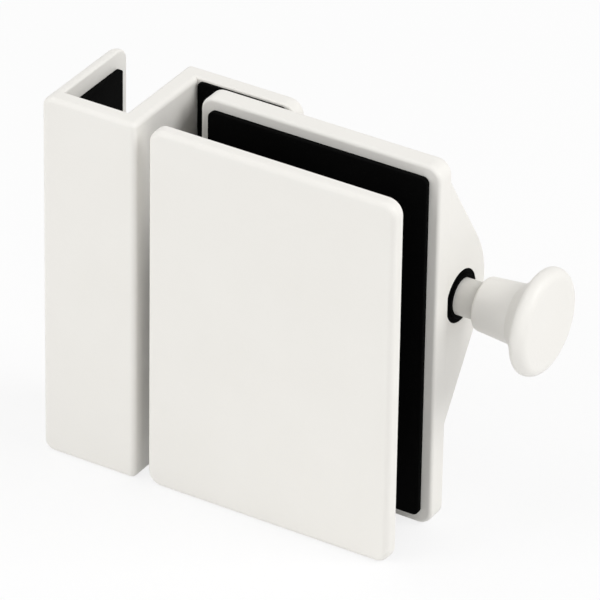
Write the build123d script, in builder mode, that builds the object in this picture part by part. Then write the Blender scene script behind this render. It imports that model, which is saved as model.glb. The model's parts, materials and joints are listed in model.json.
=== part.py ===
from build123d import *
import math
import os

# Latch for a frameless glass gate that closes at a right angle against a fixed glass panel.
# X runs along the gate, from the keeper to the knob. Y runs from the front to the back. Z is up.
# The origin is at the bottom, midway along X and midway along Y. All sizes are in millimetres.

# Glass and rubber
glass_thickness = 12.0
gasket_thickness = 1.3
gasket_inset = 2.4
gasket_corner = 1.5

# Front plate
plate_width = 58.3
plate_height = 85.0
plate_corner = 3.2
front_thickness = 3.0
front_round = 1.3

# Housing plate
housing_thickness = 4.9
housing_setback = 1.6
housing_round = 0.8

# Hump on the housing's back
hump_depth = 15.5
hump_top_margin = 4.3
hump_crown_radius = 19.0
hump_ramp_angle = 32.5
hump_inset = 0.4
hump_round = 0.8
hump_left_wall = 3.0
hump_right_wall = 3.6
hump_root = 2.0

# Keeper bracket
keeper_proud = 0.3
keeper_wall = 3.5
leg_thickness = 3.2
web_thickness = 4.4
stop_length = 23.6
keeper_corner = 3.2
leg_round = 2.4
keeper_round = 1.2
keeper_inner_round = 0.5
web_inner_round = 1.0

# Running gaps between the keeper and the gate half
keeper_gap = 2.9
stop_gap = 1.0
hump_gap = 3.5

# Keeper pads
keeper_pad_thickness = 1.5
keeper_pad_margin = 3.7
keeper_pad_front_margin = 1.0
keeper_pad_corner = 0.4
pad_edge_round = 0.3

# Buffer pad, let into the stop plate
buffer_thickness = 1.5
buffer_recess = 0.8
buffer_side_margin = 0.3
buffer_end_margin = 2.1
buffer_height_margin = 0.7
buffer_corner = 1.2

# Pull shaft and bolt, on one axis behind the housing plate
axis_drop = 0.5
axis_depth = 5.6
shaft_radius = 4.0
shaft_exposed = 4.9
shaft_in_block = 8.0
shaft_chamfer = 0.6
bolt_travel = 9.0
bolt_engagement = 8.0
block_height = 16.0
block_length = 10.2
tongue_height = 12.0
tongue_thickness = 6.3
tongue_nose = 1.2
bevel_angle = 45.0
bolt_round = 0.5
cross_pin_radius = 1.5
cross_pin_sink = 0.2

# Knob
knob_length = 15.7
knob_bore_depth = 11.0
neck_radius = 5.75
neck_round = 0.9
neck_length = 8.5
flare_start_radius = 6.5
flare_length = 4.0
flare_sag = 0.3
disc_radius = 11.6
disc_back_round = 1.4
disc_round = 2.2
knob_screw_radius = 1.5
knob_screw_place = 4.6
knob_screw_length = 1.9
knob_screw_socket = 0.75
knob_screw_socket_depth = 0.8

# Spring, washer and bush round the shaft
spring_wire = 1.1
spring_inner_radius = 4.4
washer_radius = 6.4
washer_thickness = 0.8
bush_radius = 5.9
bush_recess = 0.1
bush_collar_radius = 4.8
bush_collar_length = 0.4
bush_round = 0.2
spring_pocket_radius = 6.6

# Mechanism cover under the gasket
cover_thickness = 1.5
cover_ledge = 4.6
cover_left_ledge = 7.5
cover_right_ledge = 1.2
cover_corner = 2.0
cover_screw_radius = 1.5
cover_screw_head_radius = 2.8
cover_screw_length = 4.2
cover_screw_inset = 3.7
cover_screw_socket = 1.1
cover_socket_depth = 1.0

# Clamp screws through the gate glass
clamp_cover_gap = 1.8
clamp_offset = 32.5
clamp_screw_radius = 3.0
clamp_head_radius = 6.0
clamp_socket_radius = 2.3
clamp_grip = 7.5
boss_radius = 4.6
boss_length = 10.0
boss_floor = 1.0
sleeve_wall = 1.8

# Clamp screws through the fixed glass
keeper_screw_radius = 2.5
keeper_head_radius = 4.7
keeper_socket_radius = 1.7
keeper_screw_grip = 3.6
keeper_sleeve_wall = 2.3

# Clearances
slide_clearance = 0.3
seat_clearance = 0.2
running_clearance = 0.05
fixed_clearance = 0.02
screw_sink = 0.2
socket_depth = 1.6

# Places along X, from the keeper's leg to the knob's face
glass_gap = glass_thickness + 2 * gasket_thickness
channel_gap = glass_thickness + 2 * keeper_pad_thickness
keeper_width = leg_thickness + channel_gap + web_thickness
total_length = keeper_width + keeper_gap + plate_width + shaft_exposed + knob_length
leg_left = -total_length / 2
leg_right = leg_left + leg_thickness
web_left = leg_right + channel_gap
web_right = web_left + web_thickness
stop_end = web_right + stop_length
plate_left = web_right + keeper_gap
plate_right = plate_left + plate_width
plate_middle = (plate_left + plate_right) / 2
housing_left = plate_left + housing_setback
housing_middle = (housing_left + plate_right) / 2
hump_left = stop_end + hump_gap
hump_right = plate_right - hump_inset
knob_inner = plate_right + shaft_exposed
knob_face = knob_inner + knob_length

# Places along Y, from the keeper's front to the knob's back edge
total_depth = keeper_proud + front_thickness + glass_gap + housing_thickness + axis_depth + disc_radius
keeper_front = -total_depth / 2
plate_front = keeper_front + keeper_proud
plate_back = plate_front + front_thickness
glass_front = plate_back + gasket_thickness
glass_back = glass_front + glass_thickness
housing_front = glass_back + gasket_thickness
housing_back = housing_front + housing_thickness
axis_y = housing_back + axis_depth
stop_front = housing_back + stop_gap
stop_back = stop_front + keeper_wall
keeper_inner = keeper_front + keeper_wall
channel_middle = (keeper_inner + stop_back) / 2

# Hump's outline: a round crown between two straight ramps
crown_centre_y = housing_back + hump_depth - hump_crown_radius
tangent_y = crown_centre_y + hump_crown_radius * math.cos(math.radians(hump_ramp_angle))
tangent_rise = hump_crown_radius * math.sin(math.radians(hump_ramp_angle))
ramp_slope = math.tan(math.radians(hump_ramp_angle))
foot_rise = tangent_rise + (tangent_y - housing_back) / ramp_slope
root_y = housing_back - hump_root
root_rise = foot_rise + hump_root / ramp_slope

# Places along Z, hung from the plate's top
block_pocket_height = block_height + 2 * slide_clearance
cover_height = block_pocket_height + 2 * cover_ledge
plate_centre = plate_height / 2
hump_height = plate_height - hump_top_margin - foot_rise
axis_height = hump_height - axis_drop
clamp_top = axis_height + cover_height / 2 + clamp_cover_gap + clamp_screw_radius
clamp_heights = [plate_height - clamp_top, clamp_top]

# Bolt and its pockets
bolt_tip = stop_end - bolt_engagement
block_left = hump_left + hump_left_wall + seat_clearance
block_right = block_left + block_length
block_pocket_right = block_right + bolt_travel + seat_clearance
spring_pocket_right = hump_right - hump_right_wall
washer_left = spring_pocket_right - washer_thickness
cover_back = housing_front + cover_thickness
block_front = cover_back + slide_clearance
tongue_front = stop_back + slide_clearance
tongue_back = tongue_front + tongue_thickness
pocket_back = tongue_back + slide_clearance
cover_left = hump_left + hump_left_wall - cover_left_ledge
cover_right = spring_pocket_right + cover_right_ledge
clamp_x = plate_left + clamp_offset
sleeve_inner_radius = boss_radius + seat_clearance
sleeve_radius = sleeve_inner_radius + sleeve_wall
keeper_sleeve_inner_radius = keeper_screw_radius + seat_clearance
keeper_sleeve_radius = keeper_sleeve_inner_radius + keeper_sleeve_wall

shaft_plane = Plane(origin=(0, axis_y, axis_height), x_dir=(1, 0, 0), z_dir=(0, -1, 0))
shaft_axis = Axis((0, axis_y, axis_height), (1, 0, 0))

os.makedirs("parts", exist_ok=True)


def upright(y):
    """The upright plane at depth y, drawn on in X and Z. A negative extrude goes to the back."""
    return Plane.XZ.offset(-y)


def cross(x):
    """The plane across the shaft at length x, drawn on in Y and Z. An extrude goes to the knob."""
    return Plane.YZ.offset(x)


def write_part(piece, name):
    """Label the piece and write it under its name."""
    piece.label = name
    export_step(piece, f"parts/{name}.step")


def countersunk_screw(radius, head_radius, length, socket_radius, depth):
    """A countersunk screw with a hexagon socket, its head at the origin and its point down."""
    tip = radius / 4
    with BuildPart() as screw:
        with BuildSketch(Plane.XZ):
            with BuildLine():
                Polyline(
                    (0, 0),
                    (head_radius, 0),
                    (radius, radius - head_radius),
                    (radius, tip - length),
                    (radius - tip, -length),
                    (0, -length),
                    close=True,
                )
            make_face()
        revolve(axis=Axis.Z)
        with BuildSketch():
            RegularPolygon(socket_radius, 6)
        extrude(amount=-depth, mode=Mode.SUBTRACT)
    return screw.part


def facing_back(x, y, z):
    """A place whose own Z points to the back."""
    return Location((x, y, z), (-90, 0, 0))


def facing_left(x, y, z):
    """A place whose own Z points to the keeper's outside."""
    return Location((x, y, z), (0, -90, 0))


# Keeper bracket: front wall, leg and web as one channel, with the stop plate behind the gate half
with BuildPart() as channel:
    with BuildSketch():
        with BuildLine():
            Polyline(
                (leg_left, keeper_front),
                (web_right, keeper_front),
                (web_right, stop_back),
                (web_left, stop_back),
                (web_left, keeper_inner),
                (leg_right, keeper_inner),
                (leg_right, stop_back),
                (leg_left, stop_back),
                close=True,
            )
        make_face()
    extrude(amount=plate_height)
    leg_rear = channel.faces().filter_by(Axis.Y).group_by(Axis.Y)[-1].sort_by(Axis.X)[0]
    fillet(leg_rear.edges().filter_by(Axis.X), radius=keeper_corner)
    fillet(channel.edges().filter_by(Axis.Y).group_by(Axis.X)[0], radius=leg_round)
    fillet(channel.edges().filter_by(Axis.Y).group_by(Axis.X)[-1], radius=keeper_round)
    fillet(channel.faces().sort_by(Axis.Y)[0].edges(), radius=keeper_round)
    leg_inside = channel.faces().filter_by(Axis.X).sort_by(Axis.X)[1]
    fillet(leg_inside.edges().filter_by(Axis.Y), radius=keeper_inner_round)
    web_inside = channel.faces().filter_by(Axis.X).sort_by(Axis.X)[-2]
    fillet(web_inside.edges().filter_by(Axis.Y), radius=web_inner_round)

with BuildPart() as stop_plate:
    with BuildSketch(upright(stop_front)):
        with Locations((web_left + web_inner_round, 0)):
            Rectangle(stop_end - web_left - web_inner_round, plate_height, align=(Align.MIN, Align.MIN))
    extrude(amount=-keeper_wall)
    fillet(stop_plate.edges().filter_by(Axis.Y).group_by(Axis.X)[-1], radius=keeper_corner)
    fillet(stop_plate.faces().sort_by(Axis.Y)[0].edges(), radius=keeper_inner_round)

buffer_length = stop_length - buffer_side_margin - buffer_end_margin
buffer_height = plate_height - 2 * buffer_height_margin
buffer_middle = web_right + buffer_side_margin + buffer_length / 2

with BuildPart() as keeper_bracket:
    add(channel.part)
    add(stop_plate.part)
    stop_rear = keeper_bracket.faces().filter_by(Axis.Y).group_by(Axis.Y)[-1].sort_by(Axis.X)[-1]
    fillet(stop_rear.edges(), radius=keeper_inner_round)
    # Shallow seat for the buffer pad
    with BuildSketch(upright(stop_front)):
        with Locations((buffer_middle, plate_centre)):
            RectangleRounded(buffer_length, buffer_height, buffer_corner)
    extrude(amount=-buffer_recess, mode=Mode.SUBTRACT)
    # Countersunk holes in the leg and threaded blind holes in the web
    for z in clamp_heights:
        with Locations(facing_left(leg_left, channel_middle, z)):
            CounterSinkHole(
                keeper_screw_radius + seat_clearance,
                keeper_head_radius + seat_clearance,
                depth=leg_thickness,
                counter_sink_angle=90,
            )
        with Locations(facing_left(web_left, channel_middle, z)):
            Hole(keeper_screw_radius + fixed_clearance, depth=keeper_screw_grip + seat_clearance)

write_part(keeper_bracket.part, "keeper_bracket")

# Buffer pad on the stop plate
with BuildPart() as stop_buffer_pad:
    with BuildSketch(upright(stop_front + buffer_recess)):
        with Locations((buffer_middle, plate_centre)):
            RectangleRounded(buffer_length, buffer_height, buffer_corner)
    extrude(amount=buffer_thickness)
    fillet(stop_buffer_pad.faces().sort_by(Axis.Y)[0].edges(), radius=pad_edge_round)

write_part(stop_buffer_pad.part, "stop_buffer_pad")

# Rubber pads on both sides of the keeper's channel
pad_front = keeper_inner + keeper_pad_front_margin
pad_depth = stop_back - keeper_pad_margin - pad_front
pad_height = plate_height - 2 * keeper_pad_margin


def channel_pad(x, thickness):
    """A pad of the channel's pad outline, on the wall at x, with holes for the sleeves."""
    with BuildPart() as pad:
        with BuildSketch(cross(x)):
            with Locations((pad_front + pad_depth / 2, plate_centre)):
                RectangleRounded(pad_depth, pad_height, keeper_pad_corner)
            with Locations(*[(channel_middle, z) for z in clamp_heights]):
                Circle(keeper_sleeve_radius + seat_clearance, mode=Mode.SUBTRACT)
        extrude(amount=thickness)
    return pad.part


with BuildPart() as keeper_leg_pad:
    add(channel_pad(leg_right, keeper_pad_thickness))

write_part(keeper_leg_pad.part, "keeper_leg_pad")

with BuildPart() as keeper_web_pad:
    add(channel_pad(web_left, -keeper_pad_thickness))

write_part(keeper_web_pad.part, "keeper_web_pad")

# Sleeves and clamp screws through the fixed glass
with BuildPart() as keeper_sleeves:
    with BuildSketch(cross(leg_right + seat_clearance)):
        with Locations(*[(channel_middle, z) for z in clamp_heights]):
            Circle(keeper_sleeve_radius)
            Circle(keeper_sleeve_inner_radius, mode=Mode.SUBTRACT)
    extrude(amount=channel_gap - 2 * seat_clearance)

write_part(keeper_sleeves.part, "keeper_sleeves")

keeper_screw = countersunk_screw(
    keeper_screw_radius,
    keeper_head_radius,
    leg_thickness - screw_sink + channel_gap + keeper_screw_grip,
    keeper_socket_radius,
    socket_depth,
)
with BuildPart() as keeper_clamp_screws:
    for z in clamp_heights:
        add(keeper_screw.moved(facing_left(leg_left + screw_sink, channel_middle, z)))

write_part(keeper_clamp_screws.part, "keeper_clamp_screws")

# Front plate with two threaded bosses on its back
with BuildPart() as front_plate:
    with BuildSketch(upright(plate_front)):
        with Locations((plate_middle, plate_centre)):
            RectangleRounded(plate_width, plate_height, plate_corner)
    extrude(amount=-front_thickness)
    fillet(front_plate.faces().sort_by(Axis.Y)[0].edges(), radius=front_round)
    with BuildSketch(upright(plate_back)):
        with Locations(*[(clamp_x, z) for z in clamp_heights]):
            Circle(boss_radius)
    extrude(amount=-boss_length)
    for z in clamp_heights:
        with Locations(facing_back(clamp_x, plate_back + boss_length, z)):
            Hole(clamp_screw_radius + fixed_clearance, depth=boss_length - boss_floor)

write_part(front_plate.part, "front_plate")


def glass_gasket(y, left):
    """A gasket of even thickness on the plane y, inset from a plate with the given left edge."""
    length = plate_right - left - 2 * gasket_inset
    height = plate_height - 2 * gasket_inset
    with BuildPart() as gasket:
        with BuildSketch(upright(y)):
            with Locations(((left + plate_right) / 2, plate_centre)):
                RectangleRounded(length, height, gasket_corner)
            with Locations(*[(clamp_x, z) for z in clamp_heights]):
                Circle(sleeve_radius + seat_clearance, mode=Mode.SUBTRACT)
        extrude(amount=-gasket_thickness)
    return gasket.part


with BuildPart() as front_gasket:
    add(glass_gasket(plate_back, plate_left))

write_part(front_gasket.part, "front_gasket")

with BuildPart() as rear_gasket:
    add(glass_gasket(glass_back, housing_left))

write_part(rear_gasket.part, "rear_gasket")

# Sleeves round the bosses, in the holes of the gate glass
with BuildPart() as glass_sleeves:
    with BuildSketch(upright(plate_back + seat_clearance)):
        with Locations(*[(clamp_x, z) for z in clamp_heights]):
            Circle(sleeve_radius)
            Circle(sleeve_inner_radius, mode=Mode.SUBTRACT)
    extrude(amount=-(glass_gap - 2 * seat_clearance))

write_part(glass_sleeves.part, "glass_sleeves")

# Hump, with the same outline along its whole length
with BuildPart() as hump:
    with BuildSketch(cross(hump_left)):
        with BuildLine():
            Line((root_y, hump_height - root_rise), (tangent_y, hump_height - tangent_rise))
            ThreePointArc(
                (tangent_y, hump_height - tangent_rise),
                (housing_back + hump_depth, hump_height),
                (tangent_y, hump_height + tangent_rise),
            )
            Line((tangent_y, hump_height + tangent_rise), (root_y, hump_height + root_rise))
            Line((root_y, hump_height + root_rise), (root_y, hump_height - root_rise))
        make_face()
    extrude(amount=hump_right - hump_left)
    hump_ends = hump.faces().filter_by(Axis.X).edges()
    fillet(hump_ends.filter_by(lambda e: e.center().Y > housing_back), radius=hump_round)

# Latch housing: the plate behind the glass, the hump and the pockets for the bolt and its spring
block_pocket_depth = pocket_back - housing_front
cover_screw_places = [
    (x, z)
    for x in (cover_left + cover_screw_inset, cover_right - cover_screw_inset)
    for z in (
        axis_height - cover_height / 2 + cover_screw_inset,
        axis_height + cover_height / 2 - cover_screw_inset,
    )
]

with BuildPart() as latch_housing:
    with BuildSketch(upright(housing_front)):
        with Locations((housing_middle, plate_centre)):
            RectangleRounded(plate_right - housing_left, plate_height, plate_corner)
    extrude(amount=-housing_thickness)
    fillet(latch_housing.faces().filter_by(Axis.Y).edges(), radius=housing_round)
    add(hump.part)
    # Pocket for the bolt's block, from the front face
    with BuildSketch(upright(housing_front)):
        with Locations((hump_left + hump_left_wall, axis_height)):
            Rectangle(
                block_pocket_right - hump_left - hump_left_wall,
                block_pocket_height,
                align=(Align.MIN, Align.CENTER),
            )
    extrude(amount=-block_pocket_depth, mode=Mode.SUBTRACT)
    # Pocket for the spring, with a round back
    with BuildSketch(cross(block_pocket_right)):
        with Locations((axis_y, axis_height)):
            Circle(spring_pocket_radius)
            Rectangle(
                axis_y - housing_front,
                2 * spring_pocket_radius,
                align=(Align.MAX, Align.CENTER),
            )
    extrude(amount=spring_pocket_right - block_pocket_right, mode=Mode.SUBTRACT)
    # Slot for the tongue in the left wall and round hole for the bush in the right wall
    with BuildSketch(cross(hump_left)):
        with Locations((tongue_front - slide_clearance, axis_height)):
            Rectangle(
                tongue_thickness + 2 * slide_clearance,
                tongue_height + 2 * slide_clearance,
                align=(Align.MIN, Align.CENTER),
            )
    extrude(amount=hump_left_wall, mode=Mode.SUBTRACT)
    with BuildSketch(cross(hump_right)):
        with Locations((axis_y, axis_height)):
            Circle(bush_radius)
    extrude(amount=-hump_right_wall, mode=Mode.SUBTRACT)
    # Seat and threaded holes for the mechanism cover
    with BuildSketch(upright(housing_front)):
        with Locations(((cover_left + cover_right) / 2, axis_height)):
            RectangleRounded(cover_right - cover_left, cover_height, cover_corner)
    extrude(amount=-cover_thickness, mode=Mode.SUBTRACT)
    for x, z in cover_screw_places:
        with Locations(Location((x, housing_front, z), (90, 0, 0))):
            Hole(cover_screw_radius + fixed_clearance, depth=cover_screw_length)
    # Countersunk holes for the clamp screws, reached through round bores in the hump
    for z in clamp_heights:
        with Locations(facing_back(clamp_x, housing_back, z)):
            CounterSinkHole(
                clamp_screw_radius + seat_clearance,
                clamp_head_radius + seat_clearance,
                depth=housing_thickness,
                counter_sink_angle=90,
            )
    with BuildSketch(upright(housing_back)):
        with Locations(*[(clamp_x, z) for z in clamp_heights]):
            Circle(clamp_head_radius + seat_clearance)
    extrude(amount=-hump_depth, mode=Mode.SUBTRACT)

write_part(latch_housing.part, "latch_housing")

# Clamp screws from the housing's back into the bosses
clamp_screw = countersunk_screw(
    clamp_screw_radius,
    clamp_head_radius,
    housing_back - screw_sink - plate_back - boss_length + clamp_grip,
    clamp_socket_radius,
    socket_depth,
)
with BuildPart() as clamp_screws:
    for z in clamp_heights:
        add(clamp_screw.moved(facing_back(clamp_x, housing_back - screw_sink, z)))

write_part(clamp_screws.part, "clamp_screws")

# Mechanism cover, flush with the housing's front face
with BuildPart() as mechanism_cover:
    with BuildSketch(upright(housing_front)):
        with Locations(((cover_left + cover_right) / 2, axis_height)):
            RectangleRounded(cover_right - cover_left, cover_height, cover_corner)
    extrude(amount=-cover_thickness)
    for x, z in cover_screw_places:
        with Locations(Location((x, housing_front, z), (90, 0, 0))):
            CounterSinkHole(
                cover_screw_radius + fixed_clearance,
                cover_screw_head_radius + fixed_clearance,
                depth=cover_thickness,
                counter_sink_angle=90,
            )

write_part(mechanism_cover.part, "mechanism_cover")

cover_screw = countersunk_screw(
    cover_screw_radius,
    cover_screw_head_radius,
    cover_screw_length - seat_clearance,
    cover_screw_socket,
    cover_socket_depth,
)
with BuildPart() as cover_screws:
    for x, z in cover_screw_places:
        add(cover_screw.moved(Location((x, housing_front + fixed_clearance, z), (90, 0, 0))))

write_part(cover_screws.part, "cover_screws")

# Bush in the side of the hump, with a short collar round the shaft
bush_face = hump_right - bush_recess

with BuildPart() as shaft_bush:
    with BuildSketch(cross(spring_pocket_right)):
        with Locations((axis_y, axis_height)):
            Circle(bush_radius)
    extrude(amount=bush_face - spring_pocket_right)
    with BuildSketch(cross(bush_face)):
        with Locations((axis_y, axis_height)):
            Circle(bush_collar_radius)
    extrude(amount=bush_recess + bush_collar_length)
    fillet(shaft_bush.faces().sort_by(Axis.X)[-1].edges(), radius=bush_round)
    with BuildSketch(cross(spring_pocket_right)):
        with Locations((axis_y, axis_height)):
            Circle(shaft_radius + running_clearance)
    extrude(amount=hump_right_wall + bush_collar_length, mode=Mode.SUBTRACT)

write_part(shaft_bush.part, "shaft_bush")

# Washer that the spring pushes against
with BuildPart() as spring_washer:
    with BuildSketch(cross(washer_left)):
        with Locations((axis_y, axis_height)):
            Circle(washer_radius)
            Circle(shaft_radius + seat_clearance, mode=Mode.SUBTRACT)
    extrude(amount=washer_thickness)

write_part(spring_washer.part, "spring_washer")

# Return spring, as the sleeve that its turns fill
with BuildPart() as return_spring:
    with BuildSketch(cross(block_right)):
        with Locations((axis_y, axis_height)):
            Circle(spring_inner_radius + spring_wire)
            Circle(spring_inner_radius, mode=Mode.SUBTRACT)
    extrude(amount=washer_left - block_right)

write_part(return_spring.part, "return_spring")

# Latch bolt: a guided block with a bevelled tongue that catches behind the stop plate
bevel_run = (tongue_thickness - tongue_nose) / math.tan(math.radians(bevel_angle))
shaft_left = block_right - shaft_in_block
pin_x = block_right - shaft_in_block / 2

with BuildPart() as latch_bolt:
    with BuildSketch(Plane.XY.offset(axis_height)):
        with BuildLine():
            Polyline(
                (bolt_tip, tongue_front),
                (block_right, tongue_front),
                (block_right, tongue_back),
                (bolt_tip + bevel_run, tongue_back),
                (bolt_tip, tongue_front + tongue_nose),
                close=True,
            )
        make_face()
    extrude(amount=tongue_height / 2, both=True)
    tongue_end = latch_bolt.edges().filter_by(Axis.Z).sort_by(Axis.X)[:2]
    fillet(tongue_end, radius=bolt_round)
    with BuildSketch(upright(block_front)):
        with Locations((block_left, axis_height)):
            Rectangle(block_length, block_height, align=(Align.MIN, Align.CENTER))
    extrude(amount=-(tongue_back - block_front))
    # Blind bore for the shaft and a hole for the cross pin
    with BuildSketch(cross(block_right)):
        with Locations((axis_y, axis_height)):
            Circle(shaft_radius + fixed_clearance)
    extrude(amount=-shaft_in_block - fixed_clearance, mode=Mode.SUBTRACT)
    with Locations((pin_x, axis_y, axis_height)):
        Cylinder(cross_pin_radius + fixed_clearance, block_height, mode=Mode.SUBTRACT)

write_part(latch_bolt.part, "latch_bolt")

# Pull shaft, with a cross hole at the bolt and its end in the knob
with BuildPart() as pull_shaft:
    with BuildSketch(cross(shaft_left)):
        with Locations((axis_y, axis_height)):
            Circle(shaft_radius)
    extrude(amount=knob_inner + knob_bore_depth - shaft_left)
    chamfer(pull_shaft.faces().filter_by(Axis.X).edges(), length=shaft_chamfer)
    with Locations((pin_x, axis_y, axis_height)):
        Cylinder(cross_pin_radius + fixed_clearance, 2 * shaft_radius, mode=Mode.SUBTRACT)

write_part(pull_shaft.part, "pull_shaft")

with BuildPart() as cross_pin:
    with Locations((pin_x, axis_y, axis_height)):
        Cylinder(cross_pin_radius, block_height - 2 * cross_pin_sink)
    chamfer(cross_pin.faces().filter_by(Axis.Z).edges(), length=cross_pin_sink)

write_part(cross_pin.part, "cross_pin")

# Knob: a slightly widening neck that flares into a flat disc with a round rim
flare_foot = knob_inner + neck_length
flare_end = flare_foot + flare_length
flare_middle = (
    (flare_foot + flare_end) / 2 + flare_sag,
    (flare_start_radius + disc_radius) / 2 - flare_sag,
)

with BuildPart() as knob:
    with BuildSketch(shaft_plane) as knob_profile:
        with BuildLine():
            Line((knob_inner, 0), (knob_inner, neck_radius))
            Line((knob_inner, neck_radius), (flare_foot, flare_start_radius))
            ThreePointArc(
                (flare_foot, flare_start_radius), flare_middle, (flare_end, disc_radius)
            )
            Polyline(
                (flare_end, disc_radius),
                (knob_face, disc_radius),
                (knob_face, 0),
                (knob_inner, 0),
            )
        make_face()
        fillet(knob_profile.vertices().group_by(Axis.Y)[-1].sort_by(Axis.X)[-1], radius=disc_round)
        fillet(knob_profile.vertices().group_by(Axis.Y)[-1].sort_by(Axis.X)[0], radius=disc_back_round)
    revolve(axis=shaft_axis)
    fillet(knob.faces().sort_by(Axis.X)[0].edges(), radius=neck_round)
    # Bore for the shaft and a threaded hole for the set screw
    with BuildSketch(cross(knob_inner)):
        with Locations((axis_y, axis_height)):
            Circle(shaft_radius + fixed_clearance)
    extrude(amount=knob_bore_depth + fixed_clearance, mode=Mode.SUBTRACT)
    with BuildSketch(Plane.XY.offset(axis_height)):
        with Locations((knob_inner + knob_screw_place, axis_y)):
            Circle(knob_screw_radius)
    extrude(amount=-disc_radius, mode=Mode.SUBTRACT)

write_part(knob.part, "knob")

# Set screw in the underside of the knob's neck
with BuildPart() as knob_set_screw:
    with BuildSketch(Plane.XY.offset(axis_height - shaft_radius - knob_screw_length)):
        with Locations((knob_inner + knob_screw_place, axis_y)):
            Circle(knob_screw_radius)
    extrude(amount=knob_screw_length - fixed_clearance)
    with BuildSketch(knob_set_screw.faces().sort_by(Axis.Z)[0]):
        RegularPolygon(knob_screw_socket, 6)
    extrude(amount=-knob_screw_socket_depth, mode=Mode.SUBTRACT)

write_part(knob_set_screw.part, "knob_set_screw")
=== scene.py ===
import json
import math
import bmesh
import bpy
from mathutils import Matrix, Vector


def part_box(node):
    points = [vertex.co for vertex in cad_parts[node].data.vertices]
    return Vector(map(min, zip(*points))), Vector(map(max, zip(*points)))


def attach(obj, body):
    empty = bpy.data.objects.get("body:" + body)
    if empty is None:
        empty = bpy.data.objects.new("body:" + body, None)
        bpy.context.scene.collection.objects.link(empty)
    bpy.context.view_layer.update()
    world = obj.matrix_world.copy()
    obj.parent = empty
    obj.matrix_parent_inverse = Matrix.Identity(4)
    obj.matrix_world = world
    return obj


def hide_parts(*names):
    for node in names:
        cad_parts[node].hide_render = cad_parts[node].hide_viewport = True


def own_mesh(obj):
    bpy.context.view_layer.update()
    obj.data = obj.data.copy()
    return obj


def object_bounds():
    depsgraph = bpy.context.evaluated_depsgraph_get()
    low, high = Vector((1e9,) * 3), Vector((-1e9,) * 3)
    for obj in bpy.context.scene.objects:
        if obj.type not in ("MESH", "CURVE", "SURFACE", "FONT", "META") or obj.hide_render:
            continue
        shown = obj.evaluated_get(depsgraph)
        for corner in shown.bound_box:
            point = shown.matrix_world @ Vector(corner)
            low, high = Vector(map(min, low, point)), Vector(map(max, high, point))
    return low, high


# Latch for a frameless glass gate: a coated keeper bracket, the gate half with its housing,
# and the pull knob.
# Everything is in metres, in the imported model's own frame: X along the gate, Y to the back, Z up.

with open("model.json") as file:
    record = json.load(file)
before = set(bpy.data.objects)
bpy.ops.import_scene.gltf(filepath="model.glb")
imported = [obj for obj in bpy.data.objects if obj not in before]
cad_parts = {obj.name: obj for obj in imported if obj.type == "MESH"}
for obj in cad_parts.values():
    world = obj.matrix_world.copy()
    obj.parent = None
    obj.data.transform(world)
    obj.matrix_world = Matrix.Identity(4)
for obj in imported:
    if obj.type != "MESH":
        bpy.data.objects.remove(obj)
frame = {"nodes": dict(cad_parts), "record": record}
cad_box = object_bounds()
MM = 0.001

# Camera
SENSOR = 36.0
LENS = 406.14
CAMERA_AZIMUTH = math.radians(31.04)
CAMERA_ELEVATION = math.radians(31.16)
CAMERA_ROLL = math.radians(0.93)
CAMERA_DISTANCE = 1389.86 * MM
CAMERA_TARGET = Vector((16.14, 12.75, 42.5)) * MM
CAMERA_SIDE_STEP = 10.92 * MM
CAMERA_RISE = 0.765 * MM
CAMERA_NEAR = 0.05
CAMERA_FAR = 50

# Light
SKY_STRENGTH = 0.49
LAMP_DISTANCE = 2.4
LAMP_SIZE = 1.3
FLOOR_SIZE = 8.0
FLOOR_DROP = 0.1 * MM
FLOOR_GLOW = 0.8
FLOOR_COLOUR = (0.9, 0.9, 0.9, 1)
FLOOR_ROUGHNESS = 0.9
WHITE = (1, 1, 1, 1)

# Rubber and spring
SOFT_EDGE = 0.3 * MM
EDGE_STEPS = 5
GASKET_CORNER = 1.5 * MM
PAD_CORNER = 0.4 * MM
BUFFER_CORNER = 1.2 * MM
HOLE_CLEARANCE = 0.2 * MM
CORNER_STEPS = 10
HOLE_STEPS = 48
SPRING_WIRE = 1.1 * MM
SPRING_TURNS = 6
SPRING_CLOSED_TURNS = 1
SPRING_STEPS = 36
WIRE_ROUNDING = 4

# Finishes
COAT_IOR = 1.45
EDGE_SAMPLES = 6
FACE_WEIGHT = 100


def direction(azimuth, elevation):
    """The way out from the latch at these angles. An azimuth of 0 is its front."""
    return Vector((
        math.sin(azimuth) * math.cos(elevation),
        -math.cos(azimuth) * math.cos(elevation),
        math.sin(elevation),
    ))


# Camera, placed from the front plate's lower left corner
def make_camera():
    """The camera that looks down on the latch from the knob's side."""
    azimuth, elevation, roll = CAMERA_AZIMUTH, CAMERA_ELEVATION, CAMERA_ROLL
    back = direction(azimuth, elevation)
    level = Vector((math.cos(azimuth), math.sin(azimuth), 0))
    upward = back.cross(level)
    side = math.cos(roll) * level + math.sin(roll) * upward
    top = math.cos(roll) * upward - math.sin(roll) * level
    data = bpy.data.cameras.new("camera")
    data.sensor_width = SENSOR
    data.lens = LENS
    data.clip_start = CAMERA_NEAR
    data.clip_end = CAMERA_FAR
    camera = bpy.data.objects.new("camera", data)
    bpy.context.scene.collection.objects.link(camera)
    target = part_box("front_plate")[0] + CAMERA_TARGET
    turn = Matrix((side, top, back)).transposed().to_4x4()
    place = target + CAMERA_DISTANCE * back + CAMERA_SIDE_STEP * side + CAMERA_RISE * top
    camera.matrix_world = Matrix.Translation(place) @ turn
    bpy.context.scene.camera = camera


make_camera()
bpy.context.scene.view_settings.view_transform = "Standard"


# Nodes
def in_use(sockets, name):
    """The socket of that name that the node's settings leave in use, or the one of that number."""
    if isinstance(name, int):
        return sockets[name]
    return next(socket for socket in sockets if socket.name == name and socket.enabled)


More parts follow.
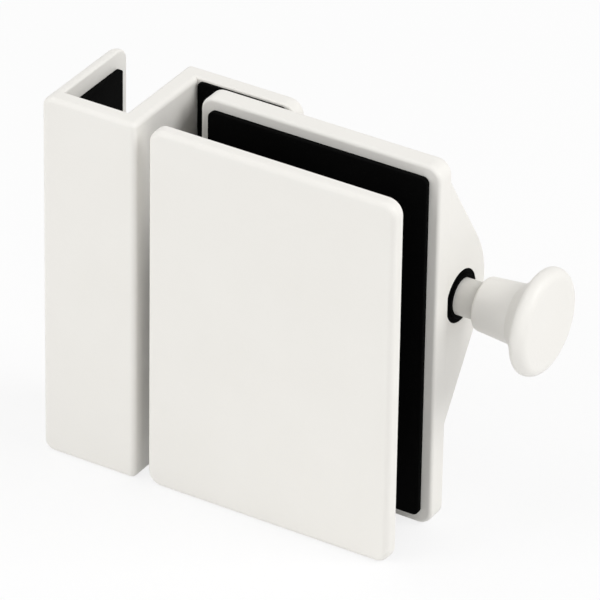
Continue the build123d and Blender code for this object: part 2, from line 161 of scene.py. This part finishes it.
def add_node(tree, kind, feeds=None, **settings):
    """Add a node, set its own settings, and feed its sockets with values or other nodes' outputs."""
    made = tree.nodes.new(kind)
    made.location.x = 190 * len(tree.nodes)
    for name, value in settings.items():
        setattr(made, name, value)
    for name, value in (feeds or {}).items():
        if isinstance(value, bpy.types.NodeSocket):
            tree.links.new(value, in_use(made.inputs, name))
        else:
            in_use(made.inputs, name).default_value = value
    return made


def new_group(name, takes, gives):
    """A shader node group with named sockets, as its tree, its inputs and its outputs."""
    tree = bpy.data.node_groups.new(name, "ShaderNodeTree")
    for label, kind, value in takes:
        socket = tree.interface.new_socket(label, in_out="INPUT", socket_type="NodeSocket" + kind)
        socket.default_value = value
    for label, kind in gives:
        tree.interface.new_socket(label, in_out="OUTPUT", socket_type="NodeSocket" + kind)
    return tree, tree.nodes.new("NodeGroupInput").outputs, tree.nodes.new("NodeGroupOutput").inputs


def make_clouding():
    """Slow, uneven variation over a surface, between two values."""
    tree, take, give = new_group(
        "clouding",
        [("Size", "Float", 0.01), ("Low", "Float", 0.0), ("High", "Float", 1.0)],
        [("Value", "Float")],
    )
    place = add_node(tree, "ShaderNodeTexCoord")
    scale = add_node(tree, "ShaderNodeMath", {0: 1.0, 1: take["Size"]}, operation="DIVIDE")
    noise = add_node(
        tree,
        "ShaderNodeTexNoise",
        {"Vector": place.outputs["Object"], "Scale": scale.outputs[0], "Detail": 3.0},
    )
    spread = add_node(
        tree,
        "ShaderNodeMapRange",
        {
            "Value": noise.outputs["Fac"],
            "From Min": 0.3,
            "From Max": 0.7,
            "To Min": take["Low"],
            "To Max": take["High"],
        },
    )
    tree.links.new(spread.outputs["Result"], give["Value"])
    return tree


def make_grain():
    """Fine grain of one size, stretched along an axis where a tool has drawn it out."""
    tree, take, give = new_group(
        "grain",
        [("Size", "Float", 0.0004), ("Stretch", "Vector", (1, 1, 1)), ("Detail", "Float", 2.0)],
        [("Height", "Float")],
    )
    place = add_node(tree, "ShaderNodeTexCoord")
    scale = add_node(tree, "ShaderNodeMath", {0: 1.0, 1: take["Size"]}, operation="DIVIDE")
    stretched = add_node(
        tree,
        "ShaderNodeVectorMath",
        {0: place.outputs["Object"], 1: take["Stretch"]},
        operation="MULTIPLY",
    )
    noise = add_node(
        tree,
        "ShaderNodeTexNoise",
        {
            "Vector": stretched.outputs["Vector"],
            "Scale": scale.outputs[0],
            "Detail": take["Detail"],
            "Roughness": 0.55,
        },
    )
    tree.links.new(noise.outputs["Fac"], give["Height"])
    return tree


def make_edge_wear_and_highlight(clouding):
    """A broken line along the edges, for wear where a coat is thinner and handling rubs, and for a
    painted highlight along the edges.
    """
    tree, take, give = new_group(
        "edge_wear_and_highlight",
        [("Radius", "Float", 0.0005), ("Strength", "Float", 2.0), ("Patch Size", "Float", 0.003)],
        [("Mask", "Float")],
    )
    rounded = add_node(tree, "ShaderNodeBevel", {"Radius": take["Radius"]}, samples=EDGE_SAMPLES)
    surface = add_node(tree, "ShaderNodeNewGeometry")
    facing = add_node(
        tree,
        "ShaderNodeVectorMath",
        {0: rounded.outputs["Normal"], 1: surface.outputs["Normal"]},
        operation="DOT_PRODUCT",
    )
    turned = add_node(tree, "ShaderNodeMath", {0: 1.0, 1: facing.outputs["Value"]}, operation="SUBTRACT")
    patches = add_node(
        tree,
        "ShaderNodeGroup",
        {"Size": take["Patch Size"], "Low": 0.4, "High": 1.0},
        node_tree=clouding,
    )
    broken = add_node(
        tree,
        "ShaderNodeMath",
        {0: turned.outputs[0], 1: patches.outputs["Value"]},
        operation="MULTIPLY",
    )
    mask = add_node(
        tree,
        "ShaderNodeMath",
        {0: broken.outputs[0], 1: take["Strength"]},
        operation="MULTIPLY",
        use_clamp=True,
    )
    tree.links.new(mask.outputs[0], give["Mask"])
    return tree


CLOUDING = make_clouding()
GRAIN = make_grain()
EDGE_WEAR_AND_HIGHLIGHT = make_edge_wear_and_highlight(CLOUDING)


# Materials
def start_material(name):
    """A new material, as the material, its node tree and its Principled shader."""
    material = bpy.data.materials.new(name)
    material.use_nodes = True
    return material, material.node_tree, material.node_tree.nodes["Principled BSDF"]


def mix_colours(tree, share, first, second):
    """The colour that lies the given share of the way from the first colour to the second."""
    mixed = add_node(
        tree,
        "ShaderNodeMix",
        {"Factor": share, "A": first, "B": second},
        data_type="RGBA",
    )
    return in_use(mixed.outputs, "Result")


def make_coating(name, colour, deep, edge, roughness, peel):
    """Sprayed satin coat: an uneven tone, a fine grain on a soft peel, lighter at the edges, partly for
    a thinner coat there and partly as a painted highlight.
    """
    material, tree, shader = start_material(name)
    cloud = add_node(
        tree, "ShaderNodeGroup", {"Size": 0.018, "Low": 0.0, "High": 1.0}, node_tree=CLOUDING
    )
    edges = add_node(
        tree,
        "ShaderNodeGroup",
        {"Radius": 0.0006, "Strength": 2.2, "Patch Size": 0.006},
        node_tree=EDGE_WEAR_AND_HIGHLIGHT,
    )
    body = mix_colours(tree, cloud.outputs["Value"], colour, deep)
    # Lighter edges: partly a thinner coat, partly a painted highlight along the edges.
    tone = mix_colours(tree, edges.outputs["Mask"], body, edge)
    gloss = add_node(
        tree,
        "ShaderNodeGroup",
        {"Size": 0.006, "Low": roughness - 0.05, "High": roughness + 0.06},
        node_tree=CLOUDING,
    )
    soft_peel = add_node(tree, "ShaderNodeGroup", {"Size": 0.0011, "Detail": 1.0}, node_tree=GRAIN)
    powder = add_node(tree, "ShaderNodeGroup", {"Size": 0.00028, "Detail": 3.0}, node_tree=GRAIN)
    height = add_node(
        tree,
        "ShaderNodeMath",
        {0: powder.outputs["Height"], 1: 0.35, 2: soft_peel.outputs["Height"]},
        operation="MULTIPLY_ADD",
    )
    relief = add_node(
        tree,
        "ShaderNodeBump",
        {"Strength": peel, "Distance": 0.00006, "Height": height.outputs[0]},
    )
    tree.links.new(tone, shader.inputs["Base Color"])
    tree.links.new(gloss.outputs["Value"], shader.inputs["Roughness"])
    tree.links.new(relief.outputs["Normal"], shader.inputs["Normal"])
    shader.inputs["IOR"].default_value = COAT_IOR
    return material


def make_rubber(name, colour, dusty, roughness, shine):
    """Matt black rubber with a fine moulded grain and rubbed, slightly dusty edges."""
    material, tree, shader = start_material(name)
    edges = add_node(
        tree,
        "ShaderNodeGroup",
        {"Radius": 0.0004, "Strength": 1.0, "Patch Size": 0.002},
        node_tree=EDGE_WEAR_AND_HIGHLIGHT,
    )
    tone = mix_colours(tree, edges.outputs["Mask"], colour, dusty)
    gloss = add_node(
        tree,
        "ShaderNodeGroup",
        {"Size": 0.009, "Low": roughness - 0.06, "High": roughness + 0.06},
        node_tree=CLOUDING,
    )
    moulded = add_node(tree, "ShaderNodeGroup", {"Size": 0.00035, "Detail": 2.0}, node_tree=GRAIN)
    relief = add_node(
        tree,
        "ShaderNodeBump",
        {"Strength": 0.5, "Distance": 0.00008, "Height": moulded.outputs["Height"]},
    )
    tree.links.new(tone, shader.inputs["Base Color"])
    tree.links.new(gloss.outputs["Value"], shader.inputs["Roughness"])
    tree.links.new(relief.outputs["Normal"], shader.inputs["Normal"])
    shader.inputs["Specular IOR Level"].default_value = shine
    return material


def make_plastic(name, colour, pale, roughness, shine):
    """Moulded plastic with a faint flow pattern, a fine skin and paler edges."""
    material, tree, shader = start_material(name)
    flow = add_node(
        tree, "ShaderNodeGroup", {"Size": 0.004, "Low": 0.0, "High": 0.5}, node_tree=CLOUDING
    )
    edges = add_node(
        tree,
        "ShaderNodeGroup",
        {"Radius": 0.0003, "Strength": 1.5, "Patch Size": 0.002},
        node_tree=EDGE_WEAR_AND_HIGHLIGHT,
    )
    body = mix_colours(tree, flow.outputs["Value"], colour, pale)
    tone = mix_colours(tree, edges.outputs["Mask"], body, pale)
    gloss = add_node(
        tree,
        "ShaderNodeGroup",
        {"Size": 0.003, "Low": roughness - 0.05, "High": roughness + 0.05},
        node_tree=CLOUDING,
    )
    skin = add_node(tree, "ShaderNodeGroup", {"Size": 0.0003, "Detail": 2.0}, node_tree=GRAIN)
    relief = add_node(
        tree,
        "ShaderNodeBump",
        {"Strength": 0.3, "Distance": 0.00004, "Height": skin.outputs["Height"]},
    )
    tree.links.new(tone, shader.inputs["Base Color"])
    tree.links.new(gloss.outputs["Value"], shader.inputs["Roughness"])
    tree.links.new(relief.outputs["Normal"], shader.inputs["Normal"])
    shader.inputs["Specular IOR Level"].default_value = shine
    return material


def make_steel(name, colour, dull, bright, roughness, stretch, mark_size):
    """Bare steel with tool marks drawn out along one axis, duller patches and bright rubbed edges."""
    material, tree, shader = start_material(name)
    patches = add_node(
        tree, "ShaderNodeGroup", {"Size": 0.004, "Low": 0.0, "High": 0.7}, node_tree=CLOUDING
    )
    edges = add_node(
        tree,
        "ShaderNodeGroup",
        {"Radius": 0.0003, "Strength": 2.0, "Patch Size": 0.0015},
        node_tree=EDGE_WEAR_AND_HIGHLIGHT,
    )
    marks = add_node(
        tree,
        "ShaderNodeGroup",
        {"Size": mark_size, "Stretch": stretch, "Detail": 3.0},
        node_tree=GRAIN,
    )
    body = mix_colours(tree, patches.outputs["Value"], colour, dull)
    tone = mix_colours(tree, edges.outputs["Mask"], body, bright)
    gloss = add_node(
        tree,
        "ShaderNodeMapRange",
        {
            "Value": marks.outputs["Height"],
            "From Min": 0.25,
            "From Max": 0.75,
            "To Min": roughness - 0.08,
            "To Max": roughness + 0.1,
        },
    )
    relief = add_node(
        tree,
        "ShaderNodeBump",
        {"Strength": 0.35, "Distance": 0.00003, "Height": marks.outputs["Height"]},
    )
    tree.links.new(tone, shader.inputs["Base Color"])
    tree.links.new(gloss.outputs["Result"], shader.inputs["Roughness"])
    tree.links.new(relief.outputs["Normal"], shader.inputs["Normal"])
    shader.inputs["Metallic"].default_value = 1.0
    return material


MATERIALS = {
    "coated_casting": make_coating(
        "satin_coat_on_casting",
        colour=(0.85, 0.833, 0.794, 1),
        deep=(0.838, 0.82, 0.779, 1),
        # The lighter edge colour is partly a thinner coat and partly a painted highlight.
        edge=(0.862, 0.846, 0.81, 1),
        roughness=0.46,
        peel=0.55,
    ),
    # Painted shade: the shaft's coat is set much darker than the casting's coat to stand in for the
    # shade on the shaft.
    "coated_shaft": make_coating(
        "shaft_coat_with_painted_shade",
        colour=(0.66, 0.645, 0.61, 1),
        deep=(0.6, 0.586, 0.553, 1),
        edge=(0.76, 0.745, 0.71, 1),
        roughness=0.4,
        peel=0.3,
    ),
    "rubber": make_rubber(
        "black_rubber",
        colour=(0.0015, 0.0015, 0.0015, 1),
        dusty=(0.006, 0.006, 0.006, 1),
        roughness=0.86,
        shine=0.04,
    ),
    "bush_plastic": make_plastic(
        "black_bush_plastic",
        colour=(0.001, 0.001, 0.001, 1),
        pale=(0.004, 0.004, 0.004, 1),
        roughness=0.8,
        shine=0.02,
    ),
    "sleeve_plastic": make_plastic(
        "natural_sleeve_plastic",
        colour=(0.74, 0.735, 0.7, 1),
        pale=(0.84, 0.835, 0.81, 1),
        roughness=0.5,
        shine=0.4,
    ),
    "screw_steel": make_steel(
        "bright_screw_steel",
        colour=(0.5, 0.49, 0.475, 1),
        dull=(0.38, 0.372, 0.358, 1),
        bright=(0.7, 0.69, 0.67, 1),
        roughness=0.3,
        stretch=(1.0, 1.0, 1.0),
        mark_size=0.00015,
    ),
    "bolt_steel": make_steel(
        "drawn_bolt_steel",
        colour=(0.58, 0.57, 0.55, 1),
        dull=(0.47, 0.46, 0.44, 1),
        bright=(0.78, 0.77, 0.75, 1),
        roughness=0.32,
        stretch=(0.03, 1.0, 1.0),
        mark_size=0.00022,
    ),
    "spring_steel": make_steel(
        "wound_spring_steel",
        colour=(0.42, 0.41, 0.4, 1),
        dull=(0.3, 0.3, 0.3, 1),
        bright=(0.62, 0.61, 0.6, 1),
        roughness=0.34,
        stretch=(1.0, 1.0, 1.0),
        mark_size=0.0003,
    ),
    "cover_steel": make_steel(
        "rolled_cover_steel",
        colour=(0.55, 0.55, 0.54, 1),
        dull=(0.43, 0.43, 0.42, 1),
        bright=(0.74, 0.74, 0.73, 1),
        roughness=0.38,
        stretch=(0.04, 1.0, 1.0),
        mark_size=0.0003,
    ),
}


def dress(piece, slot):
    """Give the piece the finish of the record's slot."""
    piece.data.materials.clear()
    piece.data.materials.append(MATERIALS[slot])


for subpart in frame["record"]["subparts"]:
    dress(frame["nodes"][subpart["node"]], subpart["material_slot"])


# Rubber sheets
def rounded_rectangle(low, high, corner):
    """Points round a rectangle with round corners, between its low and high corners."""
    points = []
    for start, u, v in (
        (0, high.x - corner, high.y - corner),
        (1, low.x + corner, high.y - corner),
        (2, low.x + corner, low.y + corner),
        (3, high.x - corner, low.y + corner),
    ):
        for step in range(CORNER_STEPS + 1):
            angle = (start + step / CORNER_STEPS) * math.pi / 2
            points.append(Vector((u + corner * math.cos(angle), v + corner * math.sin(angle))))
    return points


def circle(centre, radius):
    """Points round a circle."""
    points = []
    for step in range(HOLE_STEPS):
        angle = 2 * math.pi * step / HOLE_STEPS
        points.append(centre + radius * Vector((math.cos(angle), math.sin(angle))))
    return points


def soft_edge_steps(thickness):
    """The inset and height of each loop of a sheet's edge, rounded at both faces."""
    steps = []
    for step in range(EDGE_STEPS + 1):
        angle = step / EDGE_STEPS * math.pi / 2
        steps.append((SOFT_EDGE * (1 - math.sin(angle)), SOFT_EDGE * (1 - math.cos(angle))))
    return steps + [(inset, thickness - height) for inset, height in reversed(steps)]


def add_ring(mesh, points, height):
    """A closed ring of vertices and edges at that height."""
    corners = [mesh.verts.new((point.x, point.y, height)) for point in points]
    edges = [mesh.edges.new((corners[i - 1], corners[i])) for i in range(len(corners))]
    return corners, edges


def wrap_edge(mesh, outline, thickness):
    """The rounded edge of a sheet along one outline, which gives its points for an inset."""
    rings = [
        add_ring(mesh, outline(inset), height) for inset, height in soft_edge_steps(thickness)
    ]
    for (lower, _), (upper, _) in zip(rings, rings[1:]):
        for i in range(len(lower)):
            mesh.faces.new((lower[i - 1], lower[i], upper[i], upper[i - 1]))
    return rings[0][1], rings[-1][1]


def make_sheet(name, node, axis, corner, holes=()):
    """A rubber sheet with soft edges in the node's place. The axis is the one across its thickness."""
    low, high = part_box(node)
    u, v = {"x": (1, 2), "y": (0, 2)}[axis]
    across = "xyz".index(axis)
    flat_low, flat_high = Vector((low[u], low[v])), Vector((high[u], high[v]))
    thickness = high[across] - low[across]

    def outer(inset):
        gap = Vector((inset, inset))
        return rounded_rectangle(flat_low + gap, flat_high - gap, corner - inset)

    outlines = [outer]
    for centre, radius in holes:
        outlines.append(lambda inset, c=centre, r=radius: circle(c, r + inset))
    mesh = bmesh.new()
    ends = [wrap_edge(mesh, outline, thickness) for outline in outlines]
    for side in (0, 1):
        bmesh.ops.triangle_fill(
            mesh, use_beauty=True, edges=[edge for end in ends for edge in end[side]]
        )
    for corner_point in mesh.verts:
        flat = corner_point.co.copy()
        corner_point.co[u] = flat.x
        corner_point.co[v] = flat.y
        corner_point.co[across] = low[across] + flat.z
    bmesh.ops.recalc_face_normals(mesh, faces=mesh.faces)
    finish_piece(name, mesh, node)


def finish_piece(name, mesh, node):
    """Turn the mesh into a smooth piece that stands for the node, with its finish and its body."""
    data = bpy.data.meshes.new(name)
    mesh.to_mesh(data)
    mesh.free()
    data.shade_smooth()
    piece = bpy.data.objects.new(name, data)
    bpy.context.scene.collection.objects.link(piece)
    weighted = piece.modifiers.new("flat faces stay flat", "WEIGHTED_NORMAL")
    weighted.weight = FACE_WEIGHT
    subpart = next(part for part in frame["record"]["subparts"] if part["node"] == node)
    dress(piece, subpart["material_slot"])
    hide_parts(node)
    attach(piece, "latch")
    return piece


def sleeve_holes(node, u, v):
    """The centres and radii of the holes that the node's two sleeves need, seen along the third axis."""
    low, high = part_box(node)
    radius = (high[u] - low[u]) / 2
    middle = (high[u] + low[u]) / 2
    return [
        (Vector((middle, low[v] + radius)), radius + HOLE_CLEARANCE),
        (Vector((middle, high[v] - radius)), radius + HOLE_CLEARANCE),
    ]


glass_holes = sleeve_holes("glass_sleeves", 0, 2)
keeper_holes = sleeve_holes("keeper_sleeves", 1, 2)
make_sheet("front_gasket_sheet", "front_gasket", "y", GASKET_CORNER, glass_holes)
make_sheet("rear_gasket_sheet", "rear_gasket", "y", GASKET_CORNER, glass_holes)
make_sheet("leg_pad_sheet", "keeper_leg_pad", "x", PAD_CORNER, keeper_holes)
make_sheet("web_pad_sheet", "keeper_web_pad", "x", PAD_CORNER, keeper_holes)
make_sheet("buffer_pad_sheet", "stop_buffer_pad", "y", BUFFER_CORNER)


# Return spring
def spring_centre_line(length, radius):
    """Points along the wire's middle: closed turns at both ends and open ones between them."""
    open_turns = SPRING_TURNS - 2 * SPRING_CLOSED_TURNS
    closed_pitch = SPRING_WIRE
    open_pitch = (length - SPRING_WIRE - 2 * SPRING_CLOSED_TURNS * closed_pitch) / open_turns
    points = []
    place = SPRING_WIRE / 2
    for step in range(SPRING_TURNS * SPRING_STEPS + 1):
        turn = step / SPRING_STEPS
        angle = 2 * math.pi * turn
        points.append(Vector((place, radius * math.cos(angle), radius * math.sin(angle))))
        closed = turn < SPRING_CLOSED_TURNS or turn >= SPRING_TURNS - SPRING_CLOSED_TURNS
        place += (closed_pitch if closed else open_pitch) / SPRING_STEPS
    return points


def make_spring():
    """The wound return spring, between the bolt's block and the washer."""
    low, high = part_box("return_spring")
    radius = (high.z - low.z - SPRING_WIRE) / 2
    middle = Vector((low.x, (low.y + high.y) / 2, (low.z + high.z) / 2))
    wire = bpy.data.curves.new("return_spring_wire", "CURVE")
    wire.dimensions = "3D"
    wire.bevel_depth = SPRING_WIRE / 2
    wire.bevel_resolution = WIRE_ROUNDING
    wire.use_fill_caps = True
    length = high.x - low.x
    points = spring_centre_line(length, radius)
    spline = wire.splines.new("POLY")
    spline.points.add(len(points) - 1)
    for point, place in zip(spline.points, points):
        point.co = (*(middle + place), 1)
    wound = bpy.data.objects.new("return_spring_wire", wire)
    mesh = bmesh.new()
    mesh.from_mesh(wound.to_mesh())
    wound.to_mesh_clear()
    bpy.data.objects.remove(wound)
    spring = finish_piece("return_spring_coil", mesh, "return_spring")
    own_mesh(spring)


make_spring()


# Floor, sky and lamps
def make_floor():
    """A plain white floor that keeps the latch's soft shadow."""
    data = bpy.data.meshes.new("floor")
    half = FLOOR_SIZE / 2
    corners = [(-half, -half), (half, -half), (half, half), (-half, half)]
    data.from_pydata([(x, y, -FLOOR_DROP) for x, y in corners], [], [(0, 1, 2, 3)])
    floor = bpy.data.objects.new("floor", data)
    bpy.context.scene.collection.objects.link(floor)
    material, tree, shader = start_material("white_floor")
    shader.inputs["Base Color"].default_value = FLOOR_COLOUR
    shader.inputs["Roughness"].default_value = FLOOR_ROUGHNESS
    shader.inputs["Specular IOR Level"].default_value = 0.0
    glow = add_node(tree, "ShaderNodeEmission", {"Color": WHITE, "Strength": 1.0})
    share = add_node(
        tree, "ShaderNodeMath", {0: seen_ray(tree), 1: FLOOR_GLOW}, operation="MULTIPLY"
    )
    mixed = add_node(
        tree,
        "ShaderNodeMixShader",
        {0: share.outputs[0], 1: shader.outputs["BSDF"], 2: glow.outputs["Emission"]},
    )
    tree.links.new(mixed.outputs[0], tree.nodes["Material Output"].inputs["Surface"])
    data.materials.append(material)


def seen_ray(tree):
    """One for a ray that the camera, a gloss or glass sends out, and nothing for one that lights."""
    path = add_node(tree, "ShaderNodeLightPath")
    gloss = add_node(
        tree,
        "ShaderNodeMath",
        {0: path.outputs["Is Camera Ray"], 1: path.outputs["Is Glossy Ray"]},
        operation="MAXIMUM",
    )
    glass = add_node(
        tree,
        "ShaderNodeMath",
        {0: gloss.outputs[0], 1: path.outputs["Is Transmission Ray"]},
        operation="MAXIMUM",
    )
    return glass.outputs[0]


def make_sky():
    """An even sky that lights the latch from all sides, and shows white."""
    world = bpy.data.worlds.new("sky")
    bpy.context.scene.world = world
    world.use_nodes = True
    tree = world.node_tree
    light = tree.nodes["Background"]
    light.inputs["Color"].default_value = WHITE
    light.inputs["Strength"].default_value = SKY_STRENGTH
    white = add_node(tree, "ShaderNodeBackground", {"Color": WHITE, "Strength": 1.0})
    mixed = add_node(
        tree,
        "ShaderNodeMixShader",
        {0: seen_ray(tree), 1: light.outputs["Background"], 2: white.outputs["Background"]},
    )
    tree.links.new(mixed.outputs[0], tree.nodes["World Output"].inputs["Surface"])


def make_lamp(name, azimuth, elevation, share):
    """A large soft lamp aimed at the latch. Its share is what it adds to a face turned towards it."""
    away = direction(math.radians(azimuth), math.radians(elevation))
    data = bpy.data.lights.new(name, "AREA")
    data.shape = "SQUARE"
    data.size = LAMP_SIZE
    data.energy = share * (math.pi * LAMP_DISTANCE) ** 2
    lamp = bpy.data.objects.new(name, data)
    bpy.context.scene.collection.objects.link(lamp)
    middle = (cad_box[0] + cad_box[1]) / 2
    lamp.location = middle + LAMP_DISTANCE * away
    lamp.rotation_mode = "QUATERNION"
    lamp.rotation_quaternion = away.to_track_quat("Z", "Y")
    lamp.visible_camera = False


make_floor()
make_sky()
make_lamp("left_lamp", -42, 20, 0.29)
make_lamp("right_lamp", 106, 40, 0.49)
make_lamp("front_lamp", 32, 14, 0.08)
make_lamp("top_lamp", -20, 70, 0.15)
